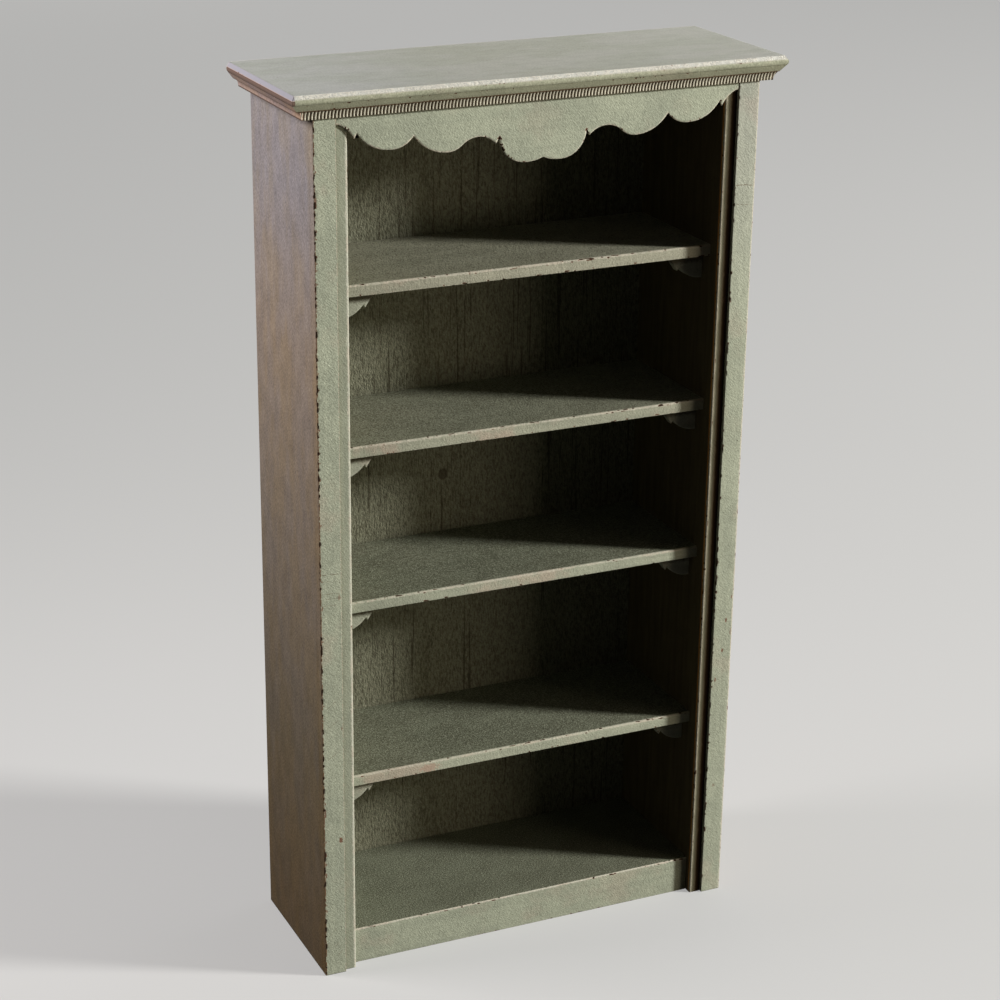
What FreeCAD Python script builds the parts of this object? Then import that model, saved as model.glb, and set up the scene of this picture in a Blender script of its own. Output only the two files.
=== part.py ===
"""Painted bookcase with boxed sides, four bracketed shelves, a scalloped valance and a reeded cornice.

Millimetres. Z is up, the front faces -Y and X runs along the shelves. The origin is on the floor,
under the middle of the whole outline. Each piece of wood is one solid, written to parts/NAME.step.
"""
import FreeCAD, Part
import math
import os

V = FreeCAD.Vector

# Whole bookcase
height = 1800.0
body_width = 910.0
body_depth = 332.0
arris = 1.5

# Boxed sides: a stile and an outer panel, packed off an inner side board by battens
stile_width = 44.0
stile_thickness = 20.0
stile_proud = 7.0
side_panel_thickness = 18.0
inner_side_thickness = 25.0
inner_side_round = 3.0
batten_depth = 30.0

# Shelves, in stopped housings in the inner sides
shelf_thickness = 23.0
shelf_setback = 40.0
shelf_round = 3.0
housing_depth = 8.0
shelf_tops = {"shelf_1": 1429.0, "shelf_2": 1112.0, "shelf_3": 793.5, "shelf_4": 418.0}

# Bottom shelf and the rail in front of it
bottom_shelf_top = 78.0
rail_setback = 25.0
rail_thickness = 20.0

# Scalloped brackets under the shelf ends
bracket_width = 78.0
bracket_height = 50.0
bracket_thickness = 20.0
bracket_setback = 26.0

# Back panel, in rebates in the inner sides
back_thickness = 6.0
back_rebate = 10.0

# Rails under the top board and the screws that hold it
top_rail_height = 45.0
top_rail_thickness = 20.0
screw_head_radius = 4.0
screw_head_height = 2.5
screw_radius = 2.0
screw_length = 45.0
screw_recess = 12.0
screw_clearance = 0.4
screw_inset = 60.0

# Top board, with a bevel over a rounded nosing on the front and both ends
top_thickness = 17.5
nosing_front = 24.5
nosing_side = 46.5
bevel_reach = 6.0
bevel_drop = 7.5
nosing_swell = 1.0
nosing_crest_drop = 11.2
nosing_under = 2.5

# Cornice moulding under the top board
cornice_height = 13.5
cornice_reach = 12.0

# Reeded trim under the cornice moulding: a cove that stands almost upright below its bend
trim_height = 16.0
trim_bend_drop = 7.5
trim_top_reach = 14.5
trim_bend_reach = 9.8
trim_bottom_reach = 8.5
trim_side_packing = 15.0
reed_pitch = 6.65
reed_width = 4.3
reed_crest_width = 2.0
reed_rise = 1.8

# Valance between the stiles: its depth below the top board, and its outline from stile to middle.
# Each step is an end point, or a point on the way and an end point for an arc. Points are shares of
# half the valance's length and of its depth.
valance_depth = 145.0
valance_end_share = 0.303
valance_step_shares = (
    ((0.983, 0.312),),
    ((0.949, 0.374), (0.912, 0.504)),
    ((0.900, 0.433),),
    ((0.840, 0.603), (0.745, 0.677)),
    ((0.679, 0.644), (0.632, 0.533)),
    ((0.574, 0.694), (0.479, 0.779)),
    ((0.428, 0.759), (0.393, 0.694)),
    ((0.314, 0.619), (0.233, 0.727)),
    ((0.218, 0.652),),
    ((0.184, 0.879), (0.083, 0.999)),
    ((0.039, 0.989), (0.000, 0.952)),
)

# Bracket outline, from its tip under the shelf to its foot on the side: shares of width and height
bracket_step_shares = (
    ((0.830, 0.370), (0.712, 0.650)),
    ((0.667, 0.514),),
    ((0.420, 0.850), (0.000, 1.000)),
)

# One overrun serves every cut
overrun = 10.0

# Places worked out from the sizes above
half_width = body_width / 2
front_y = nosing_front / 2 - body_depth / 2
back_y = front_y + body_depth
side_front_y = front_y + stile_proud
top_under_z = height - top_thickness
cornice_under_z = top_under_z - cornice_height
trim_under_z = cornice_under_z - trim_height
stile_inner_x = half_width - stile_width
bay_x = stile_inner_x - inner_side_thickness
shelf_front_y = front_y + shelf_setback
shelf_back_y = back_y - back_thickness
side_packing = nosing_side - nosing_front
left_to_right = V(1, 0, 0)


def straight(start, end):
    return Part.LineSegment(start, end).toShape()


def arc(start, middle, end):
    return Part.Arc(start, middle, end).toShape()


def prism(edges, travel):
    """Solid swept from a closed flat outline along a straight travel."""
    return Part.Face(Part.Wire(edges)).extrude(travel)


def polygon(points):
    """Closed outline of straight edges through the points in turn."""
    return [straight(points[index - 1], points[index]) for index in range(len(points))]


def rounded_outline(corners):
    """Closed outline through (point, radius) corners, each radius a tangent arc."""
    pieces = []
    ends = []
    for index, (point, radius) in enumerate(corners):
        before = corners[index - 1][0] - point
        after = corners[(index + 1) % len(corners)][0] - point
        if radius == 0:
            ends.append((point, point))
            continue
        half_angle = before.getAngle(after) / 2
        before.normalize()
        after.normalize()
        inward = before + after
        inward.normalize()
        reach = radius / math.tan(half_angle)
        start = point + before * reach
        end = point + after * reach
        middle = point + inward * (radius / math.sin(half_angle) - radius)
        pieces.append(arc(start, middle, end))
        ends.append((start, end))
    for index, (start, end) in enumerate(ends):
        pieces.append(straight(ends[index - 1][1], start))
    return Part.__sortEdges__(pieces)


def block(x_low, x_high, y_low, y_high, z_low, z_high):
    size = (x_high - x_low, y_high - y_low, z_high - z_low)
    return Part.makeBox(*size, V(x_low, y_low, z_low))


def upright(corners, z_low, z_high):
    """Post or board of constant plan section, from (x, y, radius) corners."""
    outline = rounded_outline([(V(x, y, z_low), radius) for x, y, radius in corners])
    return prism(outline, V(0, 0, z_high - z_low))


def crosswise(corners, half_length):
    """Board of constant side section, from (y, z, radius) corners, centred on the middle plane."""
    outline = rounded_outline([(V(-half_length, y, z), radius) for y, z, radius in corners])
    return prism(outline, V(half_length + half_length, 0, 0))


def mirrored(shape):
    return shape.mirror(V(0, 0, 0), left_to_right)


def stepped_edges(start, steps, place):
    """Edges through shares: each step is an end, or a way point and an end for an arc."""
    edges = []
    at = place(*start)
    for step in steps:
        end = place(*step[-1])
        if len(step) > 1:
            edges.append(arc(at, place(*step[0]), end))
        else:
            edges.append(straight(at, end))
        at = end
    return edges, at


# Top board


def edge_profile(reach):
    """Bevel, rounded nosing and undercut, as (outward, up) points of a moulded edge."""
    bevel_foot = reach - nosing_swell
    return {
        "arris": (reach - bevel_reach, height),
        "bevel_foot": (bevel_foot, height - bevel_drop),
        "crest": (reach, height - nosing_crest_drop),
        "under": (reach - nosing_under, top_under_z),
    }


def moulded_edges(reach, place):
    points = {name: place(*at) for name, at in edge_profile(reach).items()}
    bevel = straight(points["arris"], points["bevel_foot"])
    nosing = arc(points["bevel_foot"], points["crest"], points["under"])
    return points, [bevel, nosing]


def make_top_board():
    """Two moulded prisms at right angles; what they share has mitred corners."""
    far_x = half_width + nosing_side + overrun
    far_y = front_y - nosing_front - overrun

    def at_front(outward, up):
        return V(-far_x, front_y - outward, up)

    def at_right(outward, up):
        return V(half_width + outward, far_y, up)

    def at_left(outward, up):
        return V(-half_width - outward, far_y, up)

    points, edges = moulded_edges(nosing_front, at_front)
    low_back = V(-far_x, back_y, top_under_z)
    high_back = V(-far_x, back_y, height)
    edges += [straight(points["under"], low_back), straight(low_back, high_back)]
    edges += [straight(high_back, points["arris"])]
    lengthwise = prism(edges, V(far_x + far_x, 0, 0))

    right, right_edges = moulded_edges(nosing_side, at_right)
    left, left_edges = moulded_edges(nosing_side, at_left)
    joins = [straight(left["arris"], right["arris"]), straight(right["under"], left["under"])]
    outline = Part.__sortEdges__(right_edges + left_edges + joins)
    return lengthwise.common(prism(outline, V(0, back_y - far_y, 0)))


# Cornice moulding and reeded trim


def mitre_keep(packing, z_low, z_high):
    """Wedge in front of the two 45 degree mitres that start beside the stiles' front corners."""
    reach = nosing_side + overrun
    corner_x = half_width + packing
    outline = [
        V(corner_x, front_y, z_low),
        V(corner_x + reach, front_y - reach, z_low),
        V(-corner_x - reach, front_y - reach, z_low),
        V(-corner_x, front_y, z_low),
    ]
    return prism(polygon(outline), V(0, 0, z_high - z_low))


def front_length(profile, packing):
    """Front moulding with mitred ends, from its (reach, z) profile, top first."""
    top_reach, z_high = profile[0]
    z_low = profile[-1][1]
    corners = [(front_y, z_low, 0), (front_y, z_high, 0)]
    corners += [(front_y - reach, z, 0) for reach, z in profile]
    keep = mitre_keep(packing, z_low, z_high)
    return crosswise(corners, half_width + packing + top_reach).common(keep)


def right_return(profile, packing):
    """Plain return along the right side, mitred to the front length."""
    top_reach, z_high = profile[0]
    z_low = profile[-1][1]
    far_y = front_y - top_reach
    outline = [V(half_width, far_y, z_low), V(half_width, far_y, z_high)]
    outline += [V(half_width + packing + reach, far_y, z) for reach, z in profile]
    board = prism(polygon(outline), V(0, back_y - far_y, 0))
    board = board.cut(mitre_keep(packing, z_low - overrun, z_high + overrun))
    behind = block(half_width, half_width + packing, far_y, front_y, z_low, z_high)
    return board.cut(behind)


def cornice_profile():
    return [(nosing_front - nosing_under, top_under_z), (cornice_reach, cornice_under_z)]


def trim_profile():
    return [
        (trim_top_reach, cornice_under_z),
        (trim_bend_reach, cornice_under_z - trim_bend_drop),
        (trim_bottom_reach, trim_under_z),
    ]


def reed_comb(half_length, reach, z):
    """Flat outline with one crest per reed along its front, centred on the middle plane."""
    crest_y = front_y - reach
    root_y = crest_y + reed_rise
    half_root = reed_width / 2
    half_crest = reed_crest_width / 2
    count = int(half_length / reed_pitch) + 1
    points = []
    for index in range(-count, count + 1):
        centre_x = index * reed_pitch
        points.append(V(centre_x - half_root, root_y, z))
        points.append(V(centre_x - half_crest, crest_y, z))
        points.append(V(centre_x + half_crest, crest_y, z))
        points.append(V(centre_x + half_root, root_y, z))
    far_y = crest_y + trim_top_reach + overrun
    points.append(V(points[-1].x, far_y, z))
    points.append(V(points[0].x, far_y, z))
    return polygon(points)


def make_reeded_trim():
    """Comb swept up and then outward past the bend, trimmed flat behind and mitred at both ends.

    The mitres leave a loose splinter of the last reed at each end, which is dropped.
    """
    top, bend, bottom = trim_profile()
    half_length = half_width + trim_side_packing + trim_top_reach
    lengths = []
    for (high_reach, high_z), (low_reach, low_z) in ((bend, bottom), (top, bend)):
        travel = V(0, low_reach - high_reach, high_z - low_z)
        lengths.append(prism(reed_comb(half_length, low_reach, low_z), travel))
    cove = lengths[0].fuse(lengths[1])
    mitred = cove.common(mitre_keep(trim_side_packing, trim_under_z, cornice_under_z))
    return max(mitred.Solids, key=lambda solid: solid.Volume)


# Valance


def make_valance():
    """Right half from its scalloped outline, mirrored and joined at the middle."""

    def place(along_share, down_share):
        x = along_share * stile_inner_x
        return V(x, front_y, top_under_z - down_share * valance_depth)

    start = (1, valance_end_share)
    edges, foot = stepped_edges(start, valance_step_shares, place)
    top_middle = place(0, 0)
    top_end = place(1, 0)
    edges += [straight(foot, top_middle), straight(top_middle, top_end)]
    edges += [straight(top_end, place(*start))]
    half = prism(edges, V(0, stile_proud, 0))
    return half.fuse(mirrored(half)).removeSplitter()


# Boxed sides


def make_right_stile():
    corners = [
        (stile_inner_x, front_y, 0),
        (half_width, front_y, arris),
        (half_width, front_y + stile_thickness, 0),
        (stile_inner_x, front_y + stile_thickness, 0),
    ]
    return upright(corners, 0, top_under_z)


def make_right_side_panel():
    inner_x = half_width - side_panel_thickness
    return block(inner_x, half_width, front_y + stile_thickness, back_y, 0, top_under_z)


def make_right_inner_side(housed):
    """Board with a rounded front edge, a rebate for the back and a stopped housing for each shelf."""
    corners = [
        (bay_x, side_front_y, inner_side_round),
        (stile_inner_x, side_front_y, 0),
        (stile_inner_x, back_y, 0),
        (bay_x + back_rebate, back_y, 0),
        (bay_x + back_rebate, shelf_back_y, 0),
        (bay_x, shelf_back_y, 0),
    ]
    board = upright(corners, 0, top_under_z)
    for shelf in housed:
        board = board.cut(shelf)
    return board


def make_right_batten(y_low):
    inner_x = half_width - side_panel_thickness
    return block(stile_inner_x, inner_x, y_low, y_low + batten_depth, 0, top_under_z)


# Shelves, rail and brackets


def make_shelf(top_z, y_low, rounding):
    """Board with its front arrises rounded, long enough to enter both housings."""
    corners = [
        (y_low, top_z - shelf_thickness, rounding),
        (y_low, top_z, rounding),
        (shelf_back_y, top_z, 0),
        (shelf_back_y, top_z - shelf_thickness, 0),
    ]
    return crosswise(corners, bay_x + housing_depth)


def make_bottom_rail():
    rail_y = front_y + rail_setback
    corners = [
        (rail_y, 0, 0),
        (rail_y, bottom_shelf_top, arris),
        (rail_y + rail_thickness, bottom_shelf_top, 0),
        (rail_y + rail_thickness, 0, 0),
    ]
    return crosswise(corners, bay_x)


def make_right_bracket(shelf_top):
    """Scalloped bracket that carries the right end of a shelf."""
    under_z = shelf_top - shelf_thickness
    bracket_y = shelf_front_y + bracket_setback

    def place(along_share, down_share):
        x = bay_x - along_share * bracket_width
        return V(x, bracket_y, under_z - down_share * bracket_height)

    edges, foot = stepped_edges((1, 0), bracket_step_shares, place)
    heel = place(0, 0)
    edges += [straight(foot, heel), straight(heel, place(1, 0))]
    return prism(edges, V(0, bracket_thickness, 0))


# Back panel, top rails and screws


def make_back_panel():
    half_panel = bay_x + back_rebate
    bottom_z = bottom_shelf_top - shelf_thickness
    return block(-half_panel, half_panel, shelf_back_y, back_y, bottom_z, top_under_z)


def make_top_rail(y_low):
    low_z = top_under_z - top_rail_height
    return block(-bay_x, bay_x, y_low, y_low + top_rail_thickness, low_z, top_under_z)


def screw_places():
    """Screws at both ends and the middle of each top rail, on the rails' centre lines."""
    end_x = bay_x - screw_inset
    for rail_y in (side_front_y, shelf_back_y - top_rail_thickness):
        for x in (-end_x, 0, end_x):
            yield V(x, rail_y + top_rail_thickness / 2, top_under_z - top_rail_height + screw_recess)


def screw_solid(seat, spare, head_depth):
    """Pan-headed screw, or with spare the clearance hole that it needs, as one turned outline."""
    head = screw_head_radius + spare
    shank = screw_radius + spare
    tip_z = seat.z + screw_length + spare
    outline = [
        V(0, seat.y, seat.z - head_depth),
        V(head, seat.y, seat.z - head_depth),
        V(head, seat.y, seat.z),
        V(shank, seat.y, seat.z),
        V(shank, seat.y, tip_z - shank),
        V(0, seat.y, tip_z),
    ]
    turned = Part.Face(Part.Wire(polygon(outline)))
    solid = turned.revolve(V(0, seat.y, 0), V(0, 0, 1), 360)
    solid.translate(V(seat.x, 0, 0))
    return solid


def make_screws():
    return [screw_solid(seat, 0, screw_head_height) for seat in screw_places()]


def drilled(shape):
    """Shape with every screw's clearance hole, open down to the underside of the rails."""
    for seat in screw_places():
        shape = shape.cut(screw_solid(seat, screw_clearance, screw_recess + overrun))
    return shape


def build():
    """All pieces by name."""
    pieces = {"top_board": drilled(make_top_board())}
    pieces["cornice_front"] = front_length(cornice_profile(), side_packing)
    pieces["cornice_right"] = right_return(cornice_profile(), side_packing)
    pieces["reeded_trim_front"] = make_reeded_trim()
    pieces["trim_return_right"] = right_return(trim_profile(), trim_side_packing)
    pieces["valance"] = make_valance()

    for name, top_z in shelf_tops.items():
        pieces[name] = make_shelf(top_z, shelf_front_y, shelf_round)
        pieces[name.replace("shelf", "bracket") + "_right"] = make_right_bracket(top_z)
    bottom_front_y = front_y + rail_setback + rail_thickness
    pieces["bottom_shelf"] = make_shelf(bottom_shelf_top, bottom_front_y, 0)
    pieces["bottom_rail"] = make_bottom_rail()

    housed = [pieces[name] for name in list(shelf_tops) + ["bottom_shelf"]]
    pieces["stile_right"] = make_right_stile()
    pieces["side_panel_right"] = make_right_side_panel()
    pieces["inner_side_right"] = make_right_inner_side(housed)
    pieces["front_batten_right"] = make_right_batten(front_y + stile_thickness)
    pieces["rear_batten_right"] = make_right_batten(back_y - batten_depth)

    pieces["back_panel"] = make_back_panel()
    pieces["top_rail_front"] = drilled(make_top_rail(side_front_y))
    pieces["top_rail_rear"] = drilled(make_top_rail(shelf_back_y - top_rail_thickness))
    pieces["top_screws"] = Part.makeCompound(make_screws())

    for name in [name for name in pieces if name.endswith("_right")]:
        pieces[name.replace("_right", "_left")] = mirrored(pieces[name])
    return pieces


os.makedirs("parts", exist_ok=True)
for node, shape in sorted(build().items()):
    shape.exportStep("parts/" + node + ".step")
    print(node, len(shape.Solids), round(shape.Volume), shape.isValid())
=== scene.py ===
# Painted pine bookcase: worn sage paint, a scalloped valance and a reeded cornice.
# Metres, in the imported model's frame: Z is up, the front faces -Y and X runs along the shelves.

import cmath
import math

import bmesh
import bpy
import numpy as np
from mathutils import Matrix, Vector
from mathutils.geometry import delaunay_2d_cdt
from mathutils.kdtree import KDTree


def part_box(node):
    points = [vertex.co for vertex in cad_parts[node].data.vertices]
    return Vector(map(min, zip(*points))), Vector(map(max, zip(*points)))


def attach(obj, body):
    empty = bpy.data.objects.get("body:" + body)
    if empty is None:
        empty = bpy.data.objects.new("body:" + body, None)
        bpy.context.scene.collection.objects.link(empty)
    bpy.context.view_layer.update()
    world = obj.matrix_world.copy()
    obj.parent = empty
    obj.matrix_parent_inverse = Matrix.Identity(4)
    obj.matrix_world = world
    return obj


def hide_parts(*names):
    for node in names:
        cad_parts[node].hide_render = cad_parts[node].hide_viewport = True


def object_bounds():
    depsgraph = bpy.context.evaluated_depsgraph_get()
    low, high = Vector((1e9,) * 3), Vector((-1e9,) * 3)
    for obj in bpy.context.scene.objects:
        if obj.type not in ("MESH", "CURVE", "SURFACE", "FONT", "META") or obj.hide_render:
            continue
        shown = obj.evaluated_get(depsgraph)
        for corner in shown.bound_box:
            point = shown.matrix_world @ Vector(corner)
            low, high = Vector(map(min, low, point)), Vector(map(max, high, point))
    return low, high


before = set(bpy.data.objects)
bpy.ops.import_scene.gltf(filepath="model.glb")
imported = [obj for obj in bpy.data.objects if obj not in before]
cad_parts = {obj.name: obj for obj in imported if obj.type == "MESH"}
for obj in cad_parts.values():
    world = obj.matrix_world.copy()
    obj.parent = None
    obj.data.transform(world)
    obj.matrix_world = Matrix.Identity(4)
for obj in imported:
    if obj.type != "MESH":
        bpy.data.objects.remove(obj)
cad_low, cad_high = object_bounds()

# Camera, fitted to the photograph's edges
camera_place = (-1.95, -4.15935, 2.6542)
camera_turn = (1.197, 0.0, -0.4015)
camera_lens = 87.73
camera_shift = (0.0806, 0.027)

# Planes of the construction
stile_low, stile_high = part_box("stile_right")
side_low, side_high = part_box("inner_side_right")
trim_low, trim_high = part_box("reeded_trim_front")
half_width = stile_high.x
front_y = stile_low.y
back_y = cad_high.y
bay_x = side_low.x
strip_y = side_low.y
strip_width = side_high.x - side_low.x
shelf_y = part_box("shelf_1")[0].y
rail_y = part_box("bottom_rail")[0].y
top_z = cad_high.z
top_under_z = stile_high.z
cornice_under_z = trim_high.z
trim_under_z = trim_low.z

# Mouldings: how far each stands out from the stiles' front, and at which height
front_reach = front_y - cad_low.y
side_packing = cad_high.x - half_width - front_reach
bevel_reach = 0.006
bevel_drop = 0.0075
nosing_swell = 0.001
nosing_crest_drop = 0.0112
nosing_under = 0.0025
cornice_top_reach = front_reach - nosing_under
cornice_low_reach = 0.012
trim_top_reach = front_y - trim_low.y
trim_bend_reach = 0.0098
trim_low_reach = 0.0085
trim_bend_drop = 0.0075
trim_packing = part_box("trim_return_right")[1].x - half_width - trim_top_reach
reed_pitch = 0.00665
reed_width = 0.0046
reed_rise = 0.0018
reed_samples = 9

# How far the valance's face lies behind the stiles', and each bracket's inside its board
valance_inset = 0.0017
bracket_inset = 0.003

# Outline of the valance, as shares of half its length and of its depth, from a stile to the middle
valance_end_share = 0.303
valance_step_shares = (
    ((0.983, 0.312),),
    ((0.949, 0.374), (0.912, 0.504)),
    ((0.9, 0.433),),
    ((0.84, 0.603), (0.745, 0.677)),
    ((0.679, 0.644), (0.632, 0.533)),
    ((0.574, 0.694), (0.479, 0.779)),
    ((0.428, 0.759), (0.393, 0.694)),
    ((0.314, 0.619), (0.233, 0.727)),
    ((0.218, 0.652),),
    ((0.184, 0.879), (0.083, 0.999)),
    ((0.039, 0.989), (0.0, 0.952)),
)

# Outline of a bracket, as shares of its width and height, from its tip to its foot
bracket_step_shares = (
    ((0.83, 0.37), (0.712, 0.65)),
    ((0.667, 0.514),),
    ((0.42, 0.85), (0.0, 1.0)),
)

# Arrises of the boards, and how far their wear reaches
plain_arris = 0.0009
shelf_arris = 0.003
seam_arris = 0.0001
rub_fade = 0.003
chip_fade = 0.0011
fine_wear_size = 0.004
broad_wear_size = 0.09

# Spacing of the meshes' points: along boards, across their sections, on curves and on cut faces
fine_step = 0.0015
plain_step = 0.006
coarse_step = 0.03
near_arris = (0.0, 0.001, 0.003, 0.007, 0.015)
side_spacing = 0.045
curve_spacing = 0.0016
moulding_spacing = 0.002
face_spacing = 0.003
face_margin = 0.002
sharp_angle = math.radians(50)
merge_distance = 1e-6
slim_distance = 1e-7

# How far down a cut board the painted shade under what it hangs from reaches
hollow_fade = 0.032

# Clearance of the top board inside the CAD box
hair = 0.00001

# Nails of the back panel: their heads' (share of the radius, depth) rows stand proud of it
nail_radius = 0.0032
nail_sides = 14
nail_profile = ((0.2, 0.0), (0.7, 0.0001), (1.0, 0.0003), (1.0, 0.0012))
nail_standing = 0.0006
nail_inset = 0.005
nail_spacing = 0.13


# Repeatable noise


def lattice(cells, seed):
    """A random value from 0 to 1 for each whole-numbered cell, the same on every run."""
    mixed = cells[:, 0] * 73856093 ^ cells[:, 1] * 19349663 ^ cells[:, 2] * 83492791
    mixed = (mixed ^ (seed * 39916801)) & 0x7FFFFFFF
    mixed = (mixed ^ (mixed >> 13)) * 60493 & 0x7FFFFFFF
    mixed = (mixed ^ (mixed >> 15)) * 15731 & 0x7FFFFFFF
    return ((mixed ^ (mixed >> 11)) & 0xFFFF) / 0xFFFF


def noise(points, size, seed):
    """Smooth noise from 0 to 1, with features of about the given size, or sizes by axis."""
    at = points / np.asarray(size)
    cells = np.floor(at).astype(np.int64)
    part = at - cells
    part = part * part * (3 - 2 * part)
    total = np.zeros(len(points))
    for corner in np.ndindex(2, 2, 2):
        weight = np.prod(np.where(corner, part, 1 - part), axis=1)
        total += weight * lattice(cells + corner, seed)
    return total


def wear(points, inward, rub, chip, depths, chip_size, seed):
    """Points moved in where paint is rubbed thin and chips are knocked out, and how chipped they are.

    rub and chip say how worn each point is, and depths how deep a rub and a chip go.
    """
    fine = noise(points, fine_wear_size, seed)
    broad = noise(points, broad_wear_size, seed + 1)
    flaws = noise(points, chip_size, seed + 2)
    level = 0.88 - 0.36 * np.sqrt(chip) - 0.2 * (broad - 0.5)
    chips = np.clip((flaws - level) / 0.08, 0, 1) * np.clip(chip * 6, 0, 1)
    depth = depths[0] * rub * (0.3 + fine) + depths[1] * chips * (0.5 + 0.5 * fine)
    return points + inward * depth[:, None], chips


# Pieces


def add_object(name, data):
    made = bpy.data.objects.new(name, data)
    bpy.context.scene.collection.objects.link(made)
    return made


def add_piece(node, points, faces, material, slot, **labels):
    """One worn piece in place of the node, with its wear and painted shade kept as attributes."""
    mesh = bpy.data.meshes.new(node + "_painted")
    mesh.from_pydata([tuple(point) for point in points], [], faces)
    for label, values in labels.items():
        attribute = mesh.attributes.new(label, "FLOAT", "POINT")
        attribute.data.foreach_set("value", np.asarray(values, np.float32))
    shape = bmesh.new()
    shape.from_mesh(mesh)
    bmesh.ops.remove_doubles(shape, verts=shape.verts, dist=merge_distance)
    bmesh.ops.dissolve_degenerate(shape, edges=shape.edges, dist=slim_distance)
    bmesh.ops.recalc_face_normals(shape, faces=shape.faces)
    shape.to_mesh(mesh)
    shape.free()
    mesh.polygons.foreach_set("use_smooth", [True] * len(mesh.polygons))
    mesh.set_sharp_from_angle(angle=sharp_angle)
    mesh.materials.append(material)
    piece = add_object(node + "_painted", mesh)
    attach(piece, "root")
    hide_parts(node)


def loft_faces(rings, count, capped=True):
    """Faces between closed rings of equal count, and over both ends where capped."""
    low = np.arange((rings - 1) * count).reshape(-1, count)
    after = np.roll(low, -1, axis=1)
    faces = np.stack([low, after, after + count, low + count], axis=-1).reshape(-1, 4).tolist()
    if capped:
        faces.append(list(reversed(range(count))))
        faces.append(list(range((rings - 1) * count, rings * count)))
    return faces


def side_steps(length):
    """Places along one side of a section, closest together beside its arrises."""
    near = [step for step in near_arris if step < length / 2]
    gap = length - near[-1] - near[-1]
    count = max(1, math.ceil(gap / side_spacing))
    inner = np.linspace(near[-1], length - near[-1], count + 1)[1:-1]
    return near + list(inner) + [length - step for step in reversed(near)]


def board_section(width, depth, radii):
    """Rows of (p, q, normal p, normal q, distance to the nearest arris, its number)."""
    corners = [(0, 0), (width, 0), (width, depth), (0, depth)]
    ways = [(1, 0), (0, 1), (-1, 0), (0, -1)]
    rows = []
    for index, (way_p, way_q) in enumerate(ways):
        after = (index + 1) % len(ways)
        radius, next_radius = radii[index], radii[after]
        length = (width if way_p else depth) - radius - next_radius
        normal = (way_q, -way_p)
        for step in side_steps(length):
            p = corners[index][0] + way_p * (radius + step)
            q = corners[index][1] + way_q * (radius + step)
            nearest = index if step < length / 2 else after
            rows.append((p, q, *normal, min(step, length - step), nearest))
        inset_p = corners[after][0] + (ways[after][0] - way_p) * next_radius
        inset_q = corners[after][1] + (ways[after][1] - way_q) * next_radius
        bends = 2 if next_radius < shelf_arris else 4
        for bend in range(1, bends + 1):
            turn = math.pi / 2 * bend / (bends + 1)
            normal_p = normal[0] * math.cos(turn) + way_p * math.sin(turn)
            normal_q = normal[1] * math.cos(turn) + way_q * math.sin(turn)
            p = inset_p + normal_p * next_radius
            q = inset_q + normal_q * next_radius
            rows.append((p, q, normal_p, normal_q, 0.0, after))
    return np.array(rows)


def stations(length, step):
    """Places along a board, with one pair at each end for the end arrises."""
    inner = np.linspace(plain_arris, length - plain_arris, max(2, math.ceil(length / step)))
    return np.concatenate([[0.0], inner, [length]])


def plank(node, axis, material, slot, step=plain_step, radii=(plain_arris,) * 4,
          rub=(0.3,) * 4, chip=(0.02,) * 4, seed=11, box=None):
    """Board along one axis, in the node's box, with rounded arrises.

    rub and chip say how worn each of the four long arrises is, in the order of the section.
    """
    low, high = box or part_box(node)
    along = "xyz".index(axis)
    p_axis, q_axis = (along + 1) % 3, (along + 2) % 3
    size = high - low
    section = board_section(size[p_axis], size[q_axis], radii)
    places = stations(size[along], step)
    count = len(section)
    points = np.zeros((len(places), count, 3))
    normals = np.zeros((len(places), count, 3))
    points[:, :, along] = low[along] + places[:, None]
    points[:, :, p_axis] = low[p_axis] + section[:, 0]
    points[:, :, q_axis] = low[q_axis] + section[:, 1]
    normals[:, :, p_axis] = section[:, 2]
    normals[:, :, q_axis] = section[:, 3]
    points[[0, -1]] -= normals[[0, -1]] * plain_arris
    nearest = section[:, 5].astype(int)
    rubs = np.array(rub)[nearest] * np.exp(-section[:, 4] / rub_fade)
    chips = np.array(chip)[nearest] * np.exp(-section[:, 4] / chip_fade)
    rubs, chips = np.tile([rubs, chips], len(places))
    chip_size = np.where(np.arange(3) == along, 0.0065, 0.0028)
    points, chips = wear(points.reshape(-1, 3), -normals.reshape(-1, 3), rubs, chips,
                         depths=(0.0005, 0.0011), chip_size=chip_size, seed=seed)
    faces = loft_faces(len(places), count)
    add_piece(node, points, faces, material, slot, rub=rubs, chip=chips)


def arc_points(start, middle, end, spacing):
    """Points along the arc through three flat points, without its first."""
    a, b, c = (complex(*point) for point in (start, middle, end))
    ratio = (c - a) / (b - a)
    centre = a + (b - a) * (ratio - abs(ratio) ** 2) / (ratio - ratio.conjugate())
    passed, turn = (cmath.phase((point - centre) / (a - centre)) % math.tau for point in (b, c))
    if passed > turn:
        turn -= math.tau
    count = max(2, math.ceil(abs(turn * (a - centre)) / spacing))
    points = [centre + (a - centre) * cmath.rect(1, turn * step / count) for step in range(1, count + 1)]
    return [(point.real, point.imag) for point in points]


def line_points(start, end, spacing):
    """Points along a straight run, without its first."""
    count = max(1, math.ceil(math.dist(start, end) / spacing))
    shares = np.arange(1, count + 1) / count
    return [tuple(np.array(start) * (1 - share) + np.array(end) * share) for share in shares]


def stepped_outline(start, steps, place, spacing):
    """Points through shares: each step is an end, or a way point and an end for an arc."""
    points = [place(*start)]
    for step in steps:
        end = place(*step[-1])
        if len(step) > 1:
            points += arc_points(points[-1], place(*step[0]), end, spacing)
        else:
            points += line_points(points[-1], end, spacing)
    return points


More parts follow.
